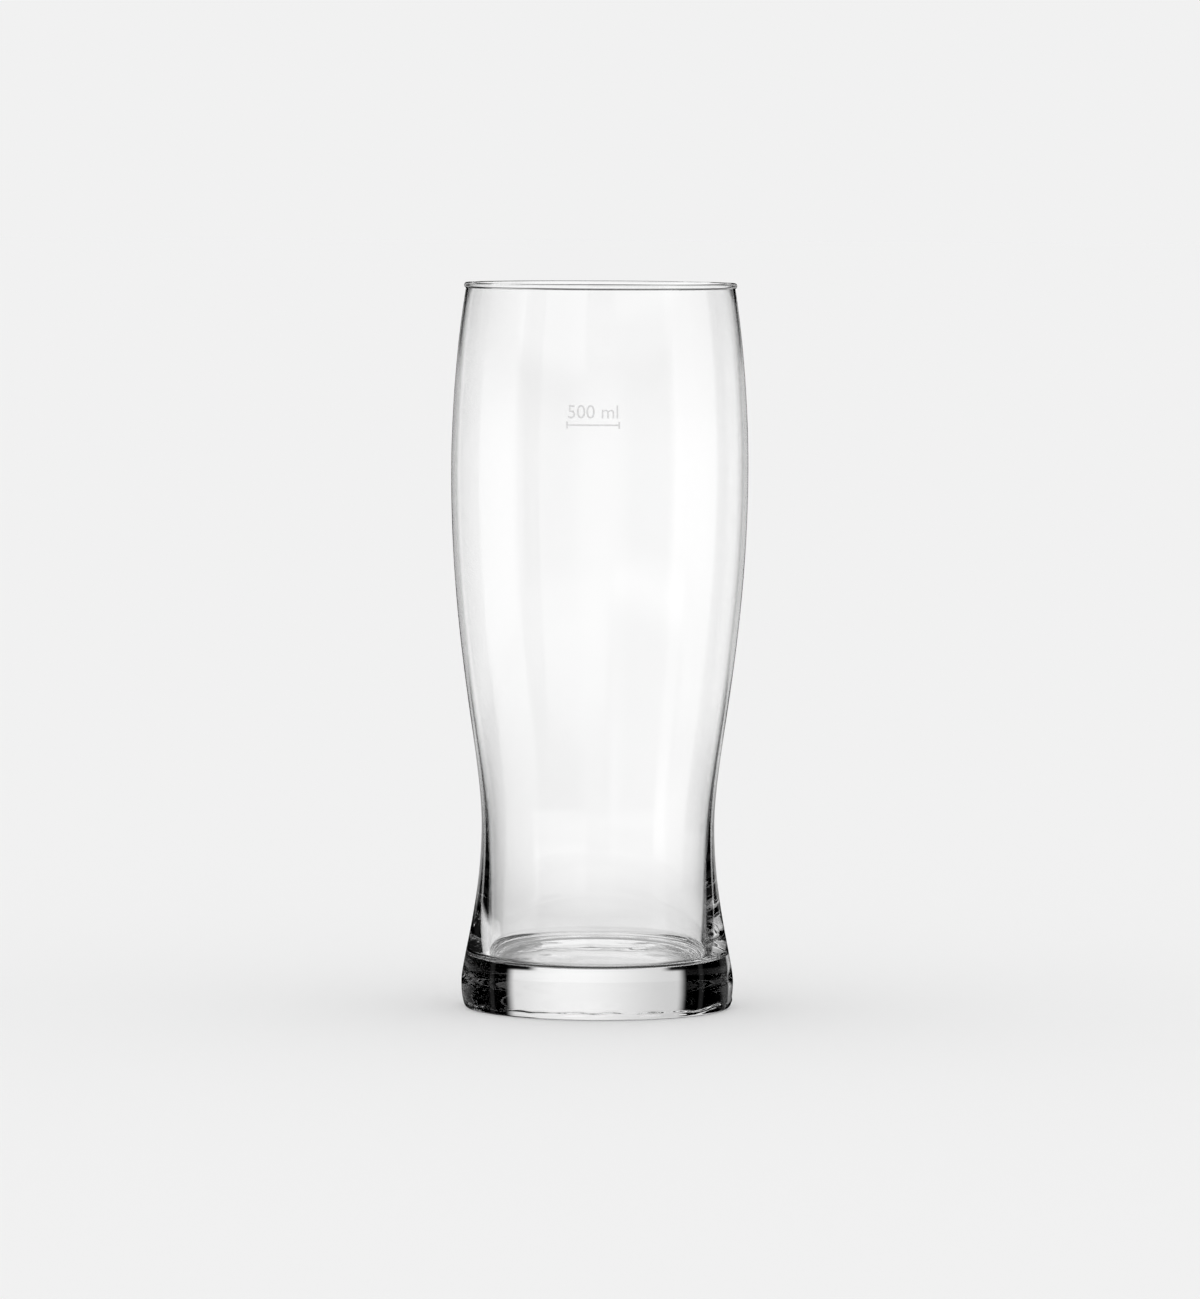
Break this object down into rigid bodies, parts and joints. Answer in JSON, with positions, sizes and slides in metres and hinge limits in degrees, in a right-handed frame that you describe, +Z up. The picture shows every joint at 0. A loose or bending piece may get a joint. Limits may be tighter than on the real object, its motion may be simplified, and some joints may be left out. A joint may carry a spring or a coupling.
{
  "type": "beer tumbler",
  "caption": "Tall clear glass beer tumbler with a heavy solid foot, a drawn-in waist, a rounded belly, a beaded lip and a printed fill line.",
  "frame": {"origin": "on the table plane, on the glass's axis, in the middle of the foot", "axes": "+Z up along the axis to the lip; -Y out of the front, through the middle of the printed fill line"},
  "size_m": [0.0778, 0.0778, 0.19],
  "materials": {
    "clear_glass": "fire-polished clear soda-lime glass",
    "enamel": "thin satin fired-on enamel"
  },
  "bodies": {
    "root": {"glass_body": "clear_glass", "fill_line": "enamel"}
  },
  "joints": []
}
